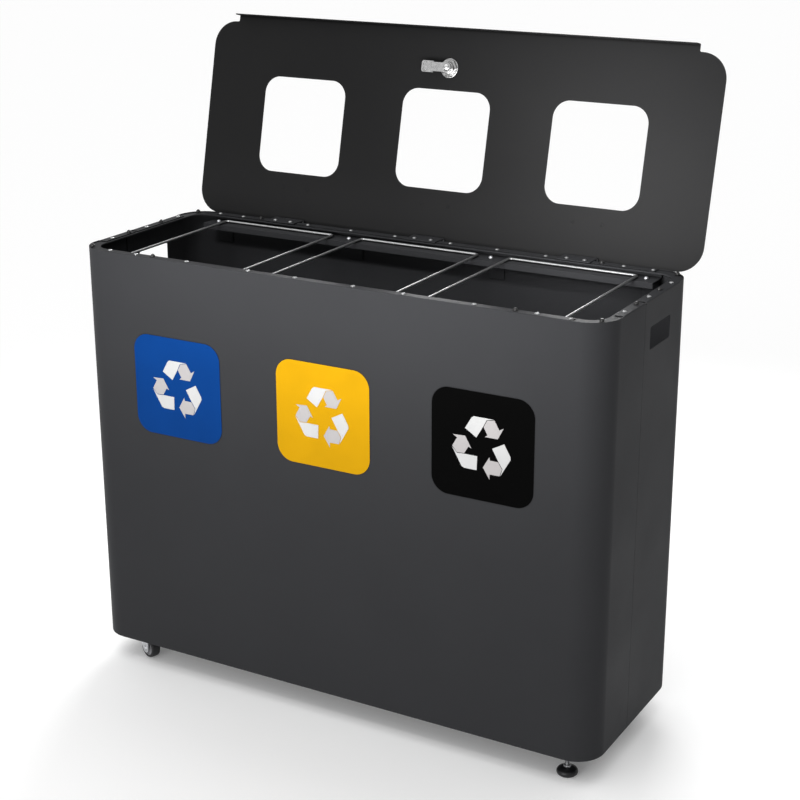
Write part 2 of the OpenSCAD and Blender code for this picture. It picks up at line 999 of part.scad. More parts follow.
// Cranked leaf: up from the pin behind the lid's rear edge, then forward over its outer face
module hinge_lid_leaves() {
    riser_back = hinge_y + knuckle_r;
    strap_z = lid_z + lid_t;
    color("dimgray")
        open_lid()
            hinge_places()
                difference() {
                    union() {
                        barrel(-mid_knuckle, mid_knuckle);
                        translate([-mid_knuckle, riser_back - leaf_t, hinge_z])
                            cube([2 * mid_knuckle, leaf_t, strap_z + leaf_t - hinge_z]);
                        translate([-mid_knuckle, lid_rear - tongue_len, strap_z])
                            cube([2 * mid_knuckle, riser_back - lid_rear + tongue_len, leaf_t]);
                        translate([-strap_half_w, strap_front, strap_z])
                            cube([2 * strap_half_w, lid_rear - tongue_len - strap_front, leaf_t]);
                    }
                    barrel_bore();
                    for (s = [-1, 1])
                        translate([s * strap_rivet_x, strap_rivet_y, strap_z - cut])
                            cylinder(h = leaf_t + 2 * cut, r = rivet_r + rivet_gap);
                }
}

module strap_rivet_places() {
    hinge_places()
        for (s = [-1, 1])
            translate([s * strap_rivet_x, strap_rivet_y, 0])
                children();
}

module hinge_lid_rivets() {
    color("dimgray")
        open_lid()
            strap_rivet_places()
                rivet(lid_z, lid_z + lid_t + leaf_t);
}

// ---------- lid ----------

// The front edge steps back beside the lip so that the corners stay clear of the fold
module lid_outline() {
    step_y = lid_front + lip_step;
    translate([0, (step_y + lid_rear) / 2])
        rounded(2 * lid_half_w, lid_rear - step_y, lid_corner_r);
    difference() {
        translate([-lip_half - lip_relief_r, lid_front])
            square([2 * (lip_half + lip_relief_r), lip_step + cut]);
        for (s = [-1, 1]) {
            translate([s * (lip_half + lip_relief_r), step_y - lip_relief_r])
                circle(lip_relief_r);
            translate([s * (lip_half + lip_relief_r), step_y - lip_relief_r - lip_step])
                square(2 * [lip_relief_r, lip_step], center = true);
        }
    }
}

module lid_panel() {
    color("dimgray")
        open_lid()
            difference() {
                union() {
                    translate([0, 0, lid_z])
                        linear_extrude(lid_t)
                            lid_outline();
                    translate([-lip_half, lid_front, lid_z - lip_depth])
                        cube([2 * lip_half, lid_t, lip_depth + lid_t]);
                }
                translate([0, lid_front, lid_z + lid_t])
                    fold_cut(2 * lip_half + 2 * cut);
                for (k = streams)
                    translate([k * stream_pitch, aperture_y, lid_z - cut])
                        linear_extrude(lid_t + 2 * cut)
                            rounded(aperture_side, aperture_side, aperture_r);
                strap_rivet_places()
                    translate([0, 0, lid_z - cut])
                        cylinder(h = lid_t + 2 * cut, r = rivet_r + rivet_gap);
                translate([0, lock_y, lid_z - cut])
                    cylinder(h = lid_t + 2 * cut, r = lock_r + rivet_gap);
            }
}

// ---------- cam lock ----------

module at_lock() {
    open_lid()
        translate([0, lock_y, 0])
            children();
}

module lock_housing() {
    body_low = cam_z + cam_t + 0.5;
    face_z = lid_z + lid_t;
    color("silver")
        at_lock()
            difference() {
                union() {
                    translate([0, 0, body_low])
                        cylinder(h = face_z - body_low, r = lock_r);
                    translate([0, 0, face_z])
                        cylinder(h = lock_face_t, r1 = lock_face_r, r2 = lock_face_r - 1.5);
                }
                translate([0, 0, body_low - cut])
                    cylinder(h = face_z + lock_face_t - body_low + 2 * cut, r = plug_r + pin_gap);
            }
}

module lock_washer() {
    color("silver")
        at_lock()
            translate([0, 0, lid_z - washer_t])
                difference() {
                    cylinder(h = washer_t, r = washer_r);
                    translate([0, 0, -cut])
                        cylinder(h = washer_t + 2 * cut, r = lock_r + rivet_gap);
                }
}

module lock_nut() {
    color("silver")
        at_lock()
            translate([0, 0, lid_z - washer_t - nut_h])
                hex_nut(nut_across_r, lock_r + pin_gap, nut_h);
}

// Key barrel: a square end below carries the cam
module lock_plug() {
    body_low = cam_z + cam_t + 0.3;
    top_z = lid_z + lid_t + lock_face_t - 0.5;
    key_depth = 4;
    color("gainsboro")
        at_lock()
            difference() {
                union() {
                    translate([0, 0, body_low])
                        cylinder(h = top_z - body_low, r = plug_r);
                    translate([-plug_square / 2, -plug_square / 2, cam_z])
                        cube([plug_square, plug_square, cam_t + 1]);
                }
                translate([-0.8, -4, top_z - key_depth])
                    cube([1.6, 8, key_depth + cut]);
                translate([0, 0, cam_z - cut])
                    cylinder(h = 7, r = cam_screw_r + pin_gap);
            }
}

// Joggled cam arm, pointing to the lid's left when unlocked; two crescents are stamped in its tip
module lock_cam() {
    hole = plug_square + 2 * rivet_gap;
    round_x = cam_tip_corner_r - cam_reach;
    round_y = cam_tip_half - cam_tip_corner_r;
    color("silver")
        at_lock()
            difference() {
                union() {
                    translate([0, 0, cam_z])
                        cylinder(h = cam_t, r = cam_eye_r);
                    translate([-cam_knee, -cam_arm_half, cam_z])
                        cube([cam_knee, 2 * cam_arm_half, cam_t]);
                    translate([-cam_knee - cam_t, -cam_arm_half, cam_z])
                        cube([cam_t, 2 * cam_arm_half, cam_t + cam_step]);
                    translate([0, 0, cam_tip_z])
                        linear_extrude(cam_t) {
                            translate([round_x, -cam_tip_half])
                                square([-cam_knee - round_x, 2 * cam_tip_half]);
                            translate([-cam_reach, -round_y])
                                square([cam_tip_corner_r, 2 * round_y]);
                            for (s = [-1, 1])
                                translate([round_x, s * round_y])
                                    circle(cam_tip_corner_r);
                        }
                }
                translate([-hole / 2, -hole / 2, cam_z - cut])
                    cube([hole, hole, cam_t + 2 * cut]);
                for (s = [-1, 1])
                    translate([round_x + 3, s * 4.5, cam_tip_z - cut])
                        linear_extrude(cam_mark_depth + cut)
                            difference() {
                                circle(cam_mark_r);
                                translate([1.5, -2 * s])
                                    circle(cam_mark_r);
                            }
            }
}

module lock_cam_screw() {
    color("silver")
        at_lock() {
            translate([0, 0, cam_z])
                cylinder(h = 5.5, r = cam_screw_r);
            translate([0, 0, cam_z])
                mirror([0, 0, 1])
                    dome(6, 2.5);
        }
}

// ---------- output ----------

placed() front_shell();
placed() rear_shell();
placed() seam_strips();
placed() top_ring();
placed() rim_rivets();
placed() lid_buffers();
placed() base_tray();
placed() caster_rail();
placed() foot_rail();
placed() rear_shelf();
placed() shelf_brackets();
placed() shelf_bolts();
placed() shelf_nuts();
placed() frame_brackets();
placed() label_blue();
placed() label_yellow();
placed() label_black();
placed() label_arrow_tails();
placed() label_arrow_heads();
placed() hinge_body_leaves();
placed() hinge_pins();
placed() hinge_body_rivets();
placed() foot_inserts();
placed() foot_locknuts();
placed() front_caster_plate();
placed() rear_caster_plate();
placed() front_kingpin();
placed() rear_kingpin();
placed() caster_bolts();
placed() caster_nuts();
placed() lid_panel();
placed() hinge_lid_leaves();
placed() hinge_lid_rivets();
placed() lock_housing();
placed() lock_washer();
placed() lock_nut();
placed() lock_plug();
placed() lock_cam();
placed() lock_cam_screw();
placed() left_bag_frame();
placed() middle_bag_frame();
placed() right_bag_frame();
placed() front_caster_fork();
placed() front_caster_axle();
placed() front_caster_hub();
placed() front_caster_tyre();
placed() rear_caster_fork();
placed() rear_caster_axle();
placed() rear_caster_hub();
placed() rear_caster_tyre();
placed() front_foot_pad();
placed() front_foot_stud();
placed() rear_foot_pad();
placed() rear_foot_stud();
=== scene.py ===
import json
import math

import bmesh
import bpy
from mathutils import Matrix, Vector


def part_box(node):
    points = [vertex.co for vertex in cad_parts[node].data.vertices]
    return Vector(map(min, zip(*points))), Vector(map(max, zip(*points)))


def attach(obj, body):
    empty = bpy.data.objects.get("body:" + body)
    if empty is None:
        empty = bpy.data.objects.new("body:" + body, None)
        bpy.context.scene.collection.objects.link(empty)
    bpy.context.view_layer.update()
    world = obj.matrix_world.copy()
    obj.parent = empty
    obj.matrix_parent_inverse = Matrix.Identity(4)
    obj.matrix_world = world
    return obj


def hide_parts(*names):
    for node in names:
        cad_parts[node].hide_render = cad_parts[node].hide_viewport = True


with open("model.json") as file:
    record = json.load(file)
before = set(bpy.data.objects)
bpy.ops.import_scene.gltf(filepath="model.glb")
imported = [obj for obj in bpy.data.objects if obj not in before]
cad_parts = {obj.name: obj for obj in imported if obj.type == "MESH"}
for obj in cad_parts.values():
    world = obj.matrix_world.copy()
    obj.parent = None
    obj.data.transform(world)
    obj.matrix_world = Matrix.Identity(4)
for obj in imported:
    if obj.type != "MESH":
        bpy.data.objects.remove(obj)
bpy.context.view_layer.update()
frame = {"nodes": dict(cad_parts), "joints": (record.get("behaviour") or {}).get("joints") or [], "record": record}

MM = 0.001
UP = (0, 0, 1)


def add_object(name, data):
    obj = bpy.data.objects.new(name, data)
    bpy.context.scene.collection.objects.link(obj)
    return obj


# ---------- camera ----------

HEADING = math.radians(-29.65)
PITCH = math.radians(18.89)
ROLL = math.radians(0.13)
LENS_MM = 76.8
SENSOR_MM = 36
EYE = Vector((1.4237, -2.4702, 1.4978))


def make_camera():
    level = math.cos(PITCH)
    forward = Vector((math.sin(HEADING) * level, math.cos(HEADING) * level, -math.sin(PITCH)))
    right = Vector((math.cos(HEADING), -math.sin(HEADING), 0))
    down = forward.cross(right)
    c, s = math.cos(ROLL), math.sin(ROLL)
    x_axis = c * right + s * down
    y_axis = s * right - c * down
    turn = Matrix((x_axis, y_axis, -forward)).transposed().to_4x4()
    data = bpy.data.cameras.new("camera")
    data.lens = LENS_MM
    data.sensor_width = SENSOR_MM
    camera = add_object("camera", data)
    camera.matrix_world = Matrix.Translation(EYE) @ turn
    bpy.context.scene.camera = camera


# ---------- node helpers ----------

def to_range(tree, value, low, high, from_low=0.3, from_high=0.7):
    node = tree.nodes.new("ShaderNodeMapRange")
    node.inputs["From Min"].default_value = from_low
    node.inputs["From Max"].default_value = from_high
    node.inputs["To Min"].default_value = low
    node.inputs["To Max"].default_value = high
    tree.links.new(value, node.inputs["Value"])
    return node.outputs["Result"]


def multiply(tree, value, by):
    """by is another socket or a number"""
    node = tree.nodes.new("ShaderNodeMath")
    node.operation = "MULTIPLY"
    tree.links.new(value, node.inputs[0])
    if isinstance(by, float):
        node.inputs[1].default_value = by
    else:
        tree.links.new(by, node.inputs[1])
    return node.outputs[0]


# ---------- floor, light ----------

FLOOR_HALF = 40
PAPER = (0.95, 0.95, 0.95, 1)
PAPER_ROUGH = 0.9
PAPER_SPEC = 0.1
PAPER_GLOW = 0.10
WHITE = (1, 1, 1, 1)

ZENITH = 1.50
HORIZON = 0.24
RIGHT_SHARE = 0.3

# name: (place, target, (width, height), power in watts, spread in degrees)
LIGHTS = {
    "strip": ((0, -0.62, 0.80), (0, -0.22, 0.74), (1.1, 0.10), 2.05, 130),
    "lid_box": ((0.38, -0.30, 0.95), (0.34, 0.2, 1.02), (0.2, 0.2), 1.65, 92),
    "mouth": ((0, -0.75, 1.45), (0, 0.1, 0.55), (0.9, 0.1), 0.8, 34),
    "rear_fill": ((-0.9, 2.6, 1.5), (-0.1, 0.2, 0.8), (1.6, 1.0), 15, 80),
    "front_fill": ((-0.3, -3.2, 0.7), (-0.1, -0.2, 0.42), (2.0, 0.8), 7.6, 80),
}


def make_floor():
    corners = [(-FLOOR_HALF, -FLOOR_HALF, 0), (FLOOR_HALF, -FLOOR_HALF, 0),
               (FLOOR_HALF, FLOOR_HALF, 0), (-FLOOR_HALF, FLOOR_HALF, 0)]
    mesh = bpy.data.meshes.new("floor")
    mesh.from_pydata(corners, [], [(0, 1, 2, 3)])
    mat = bpy.data.materials.new("floor_paper")
    mat.use_nodes = True
    shader = mat.node_tree.nodes["Principled BSDF"]
    shader.inputs["Base Color"].default_value = PAPER
    shader.inputs["Roughness"].default_value = PAPER_ROUGH
    shader.inputs["Specular IOR Level"].default_value = PAPER_SPEC
    shader.inputs["Emission Color"].default_value = WHITE
    shader.inputs["Emission Strength"].default_value = PAPER_GLOW
    mesh.materials.append(mat)
    add_object("floor", mesh)


def make_dome():
    """A dome of light, brighter overhead and dimmer to the right, that the camera sees as white"""
    world = bpy.data.worlds.new("studio")
    bpy.context.scene.world = world
    world.use_nodes = True
    tree = world.node_tree
    background = tree.nodes["Background"]
    background.inputs["Color"].default_value = WHITE
    coords = tree.nodes.new("ShaderNodeTexCoord")
    direction = tree.nodes.new("ShaderNodeSeparateXYZ")
    tree.links.new(coords.outputs["Generated"], direction.inputs["Vector"])
    upward = to_range(tree, direction.outputs["Z"], HORIZON, ZENITH, 0, 1)
    sideways = to_range(tree, direction.outputs["X"], 1, RIGHT_SHARE, 0, 1)
    path = tree.nodes.new("ShaderNodeLightPath")
    seen = tree.nodes.new("ShaderNodeMix")
    tree.links.new(path.outputs["Is Camera Ray"], seen.inputs["Factor"])
    tree.links.new(multiply(tree, upward, sideways), seen.inputs["A"])
    seen.inputs["B"].default_value = 1
    tree.links.new(seen.outputs["Result"], background.inputs["Strength"])


def make_lights():
    for name, (place, target, size, power, spread) in LIGHTS.items():
        data = bpy.data.lights.new(name, "AREA")
        data.shape = "RECTANGLE"
        data.size, data.size_y = size
        data.energy = power
        data.spread = math.radians(spread)
        light = add_object(name, data)
        light.location = place
        aim = Vector(target) - Vector(place)
        light.rotation_euler = aim.to_track_quat("-Z", "Y").to_euler()
        light.visible_camera = False


make_camera()
make_floor()
make_dome()
make_lights()
bpy.context.scene.view_settings.view_transform = "Standard"


# ---------- material layers ----------

def new_material(name, color, rough, metal=0.0, spec=0.5):
    mat = bpy.data.materials.new(name)
    mat.use_nodes = True
    shader = mat.node_tree.nodes["Principled BSDF"]
    shader.inputs["Base Color"].default_value = (*color, 1)
    shader.inputs["Roughness"].default_value = rough
    shader.inputs["Metallic"].default_value = metal
    shader.inputs["Specular IOR Level"].default_value = spec
    return mat


def drive(tree, socket, name):
    """A socket's value goes to the shader's input of that name"""
    tree.links.new(socket, tree.nodes["Principled BSDF"].inputs[name])


def add_noise(tree, scale, detail=2.0):
    coords = tree.nodes.get("coords") or tree.nodes.new("ShaderNodeTexCoord")
    coords.name = "coords"
    noise = tree.nodes.new("ShaderNodeTexNoise")
    noise.inputs["Scale"].default_value = scale
    noise.inputs["Detail"].default_value = detail
    tree.links.new(coords.outputs["Object"], noise.inputs["Vector"])
    return noise.outputs["Fac"]


def mix_colors(tree, fac, a, b):
    """a and b are each a socket or a plain colour"""
    mix = tree.nodes.new("ShaderNodeMix")
    mix.data_type = "RGBA"
    tree.links.new(fac, mix.inputs["Factor"])
    for key, value in (("A", a), ("B", b)):
        socket = [s for s in mix.inputs if s.name == key and s.type == "RGBA"][0]
        if isinstance(value, tuple):
            socket.default_value = (*value, 1)
        else:
            tree.links.new(value, socket)
    return [s for s in mix.outputs if s.type == "RGBA"][0]


def tint(color, factor):
    return tuple(min(1.0, c * factor) for c in color)


def mottle(tree, noise, color, dark, light):
    return mix_colors(tree, to_range(tree, noise, 0, 1), tint(color, dark), tint(color, light))


def add_bumps(tree, *layers):
    """Each layer is (height, strength, distance in metres)"""
    last = None
    for height, strength, distance in layers:
        bump = tree.nodes.new("ShaderNodeBump")
        bump.inputs["Strength"].default_value = strength
        bump.inputs["Distance"].default_value = distance
        tree.links.new(height, bump.inputs["Height"])
        if last is not None:
            tree.links.new(last, bump.inputs["Normal"])
        last = bump.outputs["Normal"]
    drive(tree, last, "Normal")


EDGE_SAMPLES = 4
EDGE_LEAN = (0.80, 0.99)
WEAR_PATCH = 45
HOLLOW_SAMPLES = 6
HOLLOW_OPEN = (0.45, 0.95)


def edge_mask(tree, radius):
    """1 at an edge, 0 on a flat: how far the rounded normal leans from the true one"""
    rounded = tree.nodes.new("ShaderNodeBevel")
    rounded.samples = EDGE_SAMPLES
    rounded.inputs["Radius"].default_value = radius
    geometry = tree.nodes.new("ShaderNodeNewGeometry")
    lean = tree.nodes.new("ShaderNodeVectorMath")
    lean.operation = "DOT_PRODUCT"
    tree.links.new(rounded.outputs["Normal"], lean.inputs[0])
    tree.links.new(geometry.outputs["Normal"], lean.inputs[1])
    return to_range(tree, lean.outputs["Value"], 1, 0, *EDGE_LEAN)


def add_wear(tree, color, worn, radius, amount, bare=0.0):
    """The finish rubbed towards the worn colour along edges, in patches, with some bare metal; on the powder coat
    the lighter edges are also a painted highlight along the folds
    """
    patches = to_range(tree, add_noise(tree, WEAR_PATCH, 3.0), 0.25, 1.0, 0.4, 0.65)
    share = multiply(tree, edge_mask(tree, radius), patches)
    if bare > 0:
        drive(tree, multiply(tree, share, bare), "Metallic")
    return mix_colors(tree, multiply(tree, share, amount), color, worn)


def add_hollow_shade(tree, color, shade_color, reach, amount):
    """Painted shade: a darker colour where a surface is shut in by others within reach"""
    hollow = tree.nodes.new("ShaderNodeAmbientOcclusion")
    hollow.samples = HOLLOW_SAMPLES
    hollow.inputs["Distance"].default_value = reach
    shut_in = to_range(tree, hollow.outputs["AO"], amount, 0, *HOLLOW_OPEN)
    return mix_colors(tree, shut_in, color, shade_color)


# ---------- materials ----------

WORN_PAINT_AND_FOLD_HIGHLIGHT = (0.10, 0.10, 0.102)
WORN_ZINC = (0.58, 0.58, 0.59)
# Painted shade for hollows and seams, mixed in where ambient occlusion finds a surface shut in
HOLLOW_SHADE = (0.05, 0.048, 0.045)
SEAM_SHADE = (0.004, 0.004, 0.004)

# Noise scales, each about the number of its waves in a metre
POWDER_GRAIN = 1100
POWDER_PEEL = 160
POWDER_CLOUD = 7
ZINC_FINE = 900
ZINC_SPANGLE = 130
FILM_PEEL = 170
FILM_CLOUD = 14
RUBBER_GRAIN = 700
RUBBER_CLOUD = 60


def powder_coat(name, color, rough=0.45):
    mat = new_material(name, color, rough, spec=0.025)
    tree = mat.node_tree
    grain = add_noise(tree, POWDER_GRAIN)
    peel = add_noise(tree, POWDER_PEEL)
    cloud = add_noise(tree, POWDER_CLOUD, 3.0)
    speck = mottle(tree, grain, color, 0.86, 1.14)
    broad = mix_colors(tree, to_range(tree, cloud, 0.0, 0.5), speck, tint(color, 1.1))
    # Edge wear and painted highlight: the powder coat's edges and folds painted lighter
    rubbed = add_wear(tree, broad, WORN_PAINT_AND_FOLD_HIGHLIGHT, 0.0009, 0.35, 0.3)
    # Painted shade: near-black in seams, corners and under flanges, from ambient occlusion
    drive(tree, add_hollow_shade(tree, rubbed, SEAM_SHADE, 0.005, 0.95), "Base Color")
    drive(tree, to_range(tree, cloud, rough - 0.05, rough + 0.06), "Roughness")
    add_bumps(tree, (grain, 0.25, 0.0004), (peel, 0.06, 0.001))
    return mat


def zinc(name, color, rough):
    mat = new_material(name, color, rough, metal=1.0)
    tree = mat.node_tree
    spangle = add_noise(tree, ZINC_SPANGLE)
    fine = add_noise(tree, ZINC_FINE)
    plate = mottle(tree, spangle, color, 0.85, 1.1)
    rubbed = add_wear(tree, plate, WORN_ZINC, 0.0008, 0.6)
    # Painted shade in the hollows, from ambient occlusion
    drive(tree, add_hollow_shade(tree, rubbed, HOLLOW_SHADE, 0.004, 0.9), "Base Color")
    drive(tree, to_range(tree, fine, rough - 0.07, rough + 0.1), "Roughness")
    add_bumps(tree, (fine, 0.08, 0.0003))
    return mat


def film(name, color, rough=0.38):
    mat = new_material(name, color, rough, spec=0.02)
    tree = mat.node_tree
    peel = add_noise(tree, FILM_PEEL)
    cloud = add_noise(tree, FILM_CLOUD)
    drive(tree, mottle(tree, cloud, color, 0.95, 1.05), "Base Color")
    drive(tree, to_range(tree, peel, rough - 0.04, rough + 0.05), "Roughness")
    add_bumps(tree, (peel, 0.05, 0.0008))
    return mat


def rubber(name, color, rough):
    mat = new_material(name, color, rough, spec=0.35)
    tree = mat.node_tree
    grain = add_noise(tree, RUBBER_GRAIN, 3.0)
    cloud = add_noise(tree, RUBBER_CLOUD)
    drive(tree, mottle(tree, cloud, color, 0.8, 1.4), "Base Color")
    drive(tree, to_range(tree, cloud, rough - 0.08, rough + 0.08), "Roughness")
    add_bumps(tree, (grain, 0.15, 0.0004))
    return mat


LOOKS = {
    "powder_coat": powder_coat("powder_coat", (0.029, 0.0295, 0.0315)),
    # The lid's coat is the body's powder coat at about half its brightness; the darkening is painted shade on the
    # lid
    "lid_coat": powder_coat("lid_coat", (0.0155, 0.0155, 0.0158)),
    "bright_rivet": zinc("bright_rivet", (0.40, 0.405, 0.41), 0.36),
    "zinc": zinc("zinc", (0.56, 0.57, 0.59), 0.38),
    "frame_wire": zinc("frame_wire", (0.40, 0.405, 0.41), 0.40),
    "lock_metal": zinc("lock_metal", (0.74, 0.74, 0.74), 0.2),
    "buffer_rubber": rubber("buffer_rubber", (0.012, 0.012, 0.012), 0.4),
    "label_blue": film("label_blue", (0.0022, 0.033, 0.157)),
    "label_yellow": film("label_yellow", (0.442, 0.235, 0.0031)),
    "label_black": film("label_black", (0.0007, 0.0007, 0.0007)),
    "arrow_white": film("arrow_white", (0.435, 0.435, 0.435)),
    "arrow_grey": film("arrow_grey", (0.340, 0.326, 0.326)),
    "foot_plastic": rubber("foot_plastic", (0.010, 0.010, 0.011), 0.35),
    "wheel_hub": rubber("wheel_hub", (0.20, 0.20, 0.21), 0.5),
    "wheel_tyre": rubber("wheel_tyre", (0.015, 0.015, 0.016), 0.55),
}
SLOT_OF = {entry["node"]: entry["material_slot"] for entry in frame["record"]["subparts"]}
BODIES = frame["record"]["behaviour"]["bodies"]
BODY_OF = {node: body for body, nodes in BODIES.items() for node in nodes}
JOINT_OF = {joint["child"]: joint for joint in frame["joints"]}

for node, slot in SLOT_OF.items():
    cad = frame["nodes"][node]
    cad.data.materials.clear()
    cad.data.materials.append(LOOKS[slot])


# ---------- mesh helpers ----------

SMOOTH_BELOW = math.radians(32)
NORMAL_WEIGHT = 80
WELD = 2e-6
POINT_R = 1e-9


def publish(name, bm, node):
    """The finished mesh takes the place of its CAD node, on the same body and slot"""
    bmesh.ops.recalc_face_normals(bm, faces=bm.faces)
    mesh = bpy.data.meshes.new(name)
    bm.to_mesh(mesh)
    bm.free()
    for face in mesh.polygons:
        face.use_smooth = True
    mesh.set_sharp_from_angle(angle=SMOOTH_BELOW)
    mesh.materials.append(LOOKS[SLOT_OF[node]])
    piece = add_object(name, mesh)
    normals = piece.modifiers.new("normals", "WEIGHTED_NORMAL")
    normals.keep_sharp = True
    normals.weight = NORMAL_WEIGHT
    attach(piece, BODY_OF[node])
    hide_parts(node)


def welded_copy(node):
    bm = bmesh.new()
    bm.from_mesh(frame["nodes"][node].data)
    bmesh.ops.remove_doubles(bm, verts=bm.verts, dist=WELD)
    return bm


def basis(axis):
    w = Vector(axis).normalized()
    u = w.orthogonal().normalized()
    return u, w.cross(u), w


def angles(steps):
    return [2 * math.pi * k / steps for k in range(steps)]


def reach_of(points, centre, axis):
    """(height along the axis, distance from it) of each point"""
    found = []
    for point in points:
        height = (point - centre).dot(axis)
        found.append((height, (point - centre - axis * height).length))
    return found


def skin(bm, rings, capped=False):
    """Faces between neighbouring rings; a ring may be a single point"""
    for low, high in zip(rings, rings[1:]):
        steps = max(len(low), len(high))
        for k in range(steps):
            n = (k + 1) % steps
            if len(low) == 1:
                bm.faces.new((low[0], high[n], high[k]))
            elif len(high) == 1:
                bm.faces.new((low[k], low[n], high[0]))
            else:
                bm.faces.new((low[k], low[n], high[n], high[k]))
    if capped:
        bm.faces.new(rings[0])
        bm.faces.new(rings[-1])


def add_lathe(bm, profile, origin, axis, steps):
    """Closed turned shape; profile is (radius, height) from the low end of the axis up"""
    u, v, w = basis(axis)
    origin = Vector(origin)
    rings = []
    for radius, height in profile:
        centre = origin + w * height
        if radius < POINT_R:
            rings.append([bm.verts.new(centre)])
        else:
            rings.append([bm.verts.new(centre + (u * math.cos(a) + v * math.sin(a)) * radius)
                          for a in angles(steps)])
    skin(bm, rings)


def upright_ring(bm, x, y, z_mm, radii_mm):
    """A level ring with one radius for each of its points"""
    return [bm.verts.new((x + radius * math.cos(a) * MM, y + radius * math.sin(a) * MM, z_mm * MM))
            for radius, a in zip(radii_mm, angles(len(radii_mm)))]


def islands(node):
    """Vertex positions of each loose solid in a CAD node"""
    bm = welded_copy(node)
    seen, found = set(), []
    for start in bm.verts:
        if start in seen:
            continue
        group, stack = [], [start]
        seen.add(start)
        while stack:
            vert = stack.pop()
            group.append(vert.co.copy())
            for edge in vert.link_edges:
                other = edge.other_vert(vert)
                if other not in seen:
                    seen.add(other)
                    stack.append(other)
        found.append(group)
    bm.free()
    return found


# ---------- rivets ----------

# Shares of the (radius, height) of the tail, the head and the mandrel's dimple in it
TAIL_PROFILE = [(0, 1), (0.45, 1), (0.85, 0.65), (1, 0.3), (0.95, 0)]
HEAD_PROFILE = [(0.96, 0), (1, 0.10), (0.93, 0.32), (0.78, 0.60), (0.58, 0.84), (0.42, 0.97)]
DIMPLE_PROFILE = [(1.12, 1), (1, 0.93), (0.92, 0.60), (0, 0.56)]
SHANK_SHARE = 0.5
DIMPLE_SHARE = 0.30
WIDEST = 0.98
RIVET_STEPS = 24


def make_rivets(node, axis):
    """Pop rivets: a domed head with the mandrel's dimple, and the swollen tail on the blind side"""
    bm = bmesh.new()
    w = Vector(axis).normalized()
    for group in islands(node):
        middle = sum(group, Vector()) / len(group)
        reach = reach_of(group, middle, w)
        head_r = max(r for _, r in reach)
        head_base = min(h for h, r in reach if r > head_r * WIDEST)
        below = [(h, r) for h, r in reach if h < head_base - MM]
        tail_r = max(r for _, r in below)
        tail_base = max(h for h, r in below if r > tail_r * WIDEST)
        top = max(h for h, _ in reach) - head_base
        bottom = tail_base - min(h for h, _ in reach)
        shank_r = head_r * SHANK_SHARE
        dimple_r = head_r * DIMPLE_SHARE
        profile = [(tail_r * r, tail_base - bottom * h) for r, h in TAIL_PROFILE]
        profile += [(shank_r, tail_base), (shank_r, head_base)]
        profile += [(head_r * r, head_base + top * h) for r, h in HEAD_PROFILE]
        profile += [(dimple_r * r, head_base + top * h) for r, h in DIMPLE_PROFILE]
        add_lathe(bm, profile, middle, w, RIVET_STEPS)
    publish("pop_" + node, bm, node)


def lid_normal():
    """The lock's axis, towards the outside of the lid"""
    axis = Vector(JOINT_OF["lock_barrel"]["axis"])
    return axis if axis.y > 0 else -axis


# ---------- levelling feet, in millimetres ----------

STUD_R = 4.0
ROOT_R = 3.4
THREAD_PITCH = 1.25
RINGS_A_TURN = 6
STUD_STEPS = 24
HEX_R = 6.5
HEX_LOW = 13.0
HEX_HIGH = 17.0
HEX_CHAMFER = 0.7
HEX_FACE_SHARE = 0.86
PAD_STEPS = 64
PAD_PROFILE = [(0, 0), (13.2, 0), (15.6, 0.7), (17.2, 2.2), (17.9, 4.2), (18.0, 6.0), (17.5, 8.0),
               (16.2, 9.8), (14.0, 11.3), (11.2, 12.3), (8.8, 12.9), (7.0, 13.0), (5.6, 12.8),
               (4.4, 12.6), (4.3, 11.5), (4.3, 4.2), (0, 4.0)]


def add_thread(bm, x, y, z_low, z_high):
    """Screw thread: each ring's radius follows the helix, fading out at both ends"""
    rings, count = [], int((z_high - z_low) / (THREAD_PITCH / RINGS_A_TURN))
    for i in range(count + 1):
        z = z_low + (z_high - z_low) * i / count
        fade = max(0.0, min(1.0, (z - z_low) / THREAD_PITCH, (z_high - z) / THREAD_PITCH))
        radii = []
        for k in range(STUD_STEPS):
            phase = (z / THREAD_PITCH - k / STUD_STEPS) % 1.0
            crest = abs(2 * phase - 1)
            radii.append(ROOT_R + (STUD_R - ROOT_R) * crest * fade)
        rings.append(upright_ring(bm, x, y, z, radii))
    skin(bm, rings, capped=True)


def add_hex(bm, x, y):
    """Hexagon with both faces' corners turned off"""
    half = math.pi / 6
    flats = [HEX_R * math.cos(half) / math.cos((a + half) % (2 * half) - half)
             for a in angles(STUD_STEPS)]
    turned = [min(HEX_R * HEX_FACE_SHARE, flat) for flat in flats]
    levels = ((HEX_LOW, turned), (HEX_LOW + HEX_CHAMFER, flats),
              (HEX_HIGH - HEX_CHAMFER, flats), (HEX_HIGH, turned))
    skin(bm, [upright_ring(bm, x, y, z, radii) for z, radii in levels], capped=True)


def make_foot(end):
    pad_node, stud_node = end + "_foot_pad", end + "_foot_stud"
    low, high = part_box(pad_node)
    x, y = (low.x + high.x) / 2, (low.y + high.y) / 2
    pad = bmesh.new()
    profile = [(radius * MM, height * MM) for radius, height in PAD_PROFILE]
    add_lathe(pad, profile, (x, y, low.z), UP, PAD_STEPS)
    publish("ball_" + pad_node, pad, pad_node)
    low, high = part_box(stud_node)
    stud = bmesh.new()
    add_thread(stud, x, y, low.z / MM, high.z / MM)
    add_hex(stud, x, y)
    publish("threaded_" + stud_node, stud, stud_node)


# ---------- wheels ----------

# Shares of the (wall, half width) of one side, from the bore out
TYRE_PROFILE = [(0, 0.96), (0.30, 0.96), (0.36, 1), (0.46, 1), (0.52, 0.95), (0.75, 0.90),
                (0.92, 0.76), (0.99, 0.50), (1, 0.18)]
TYRE_STEPS = 72


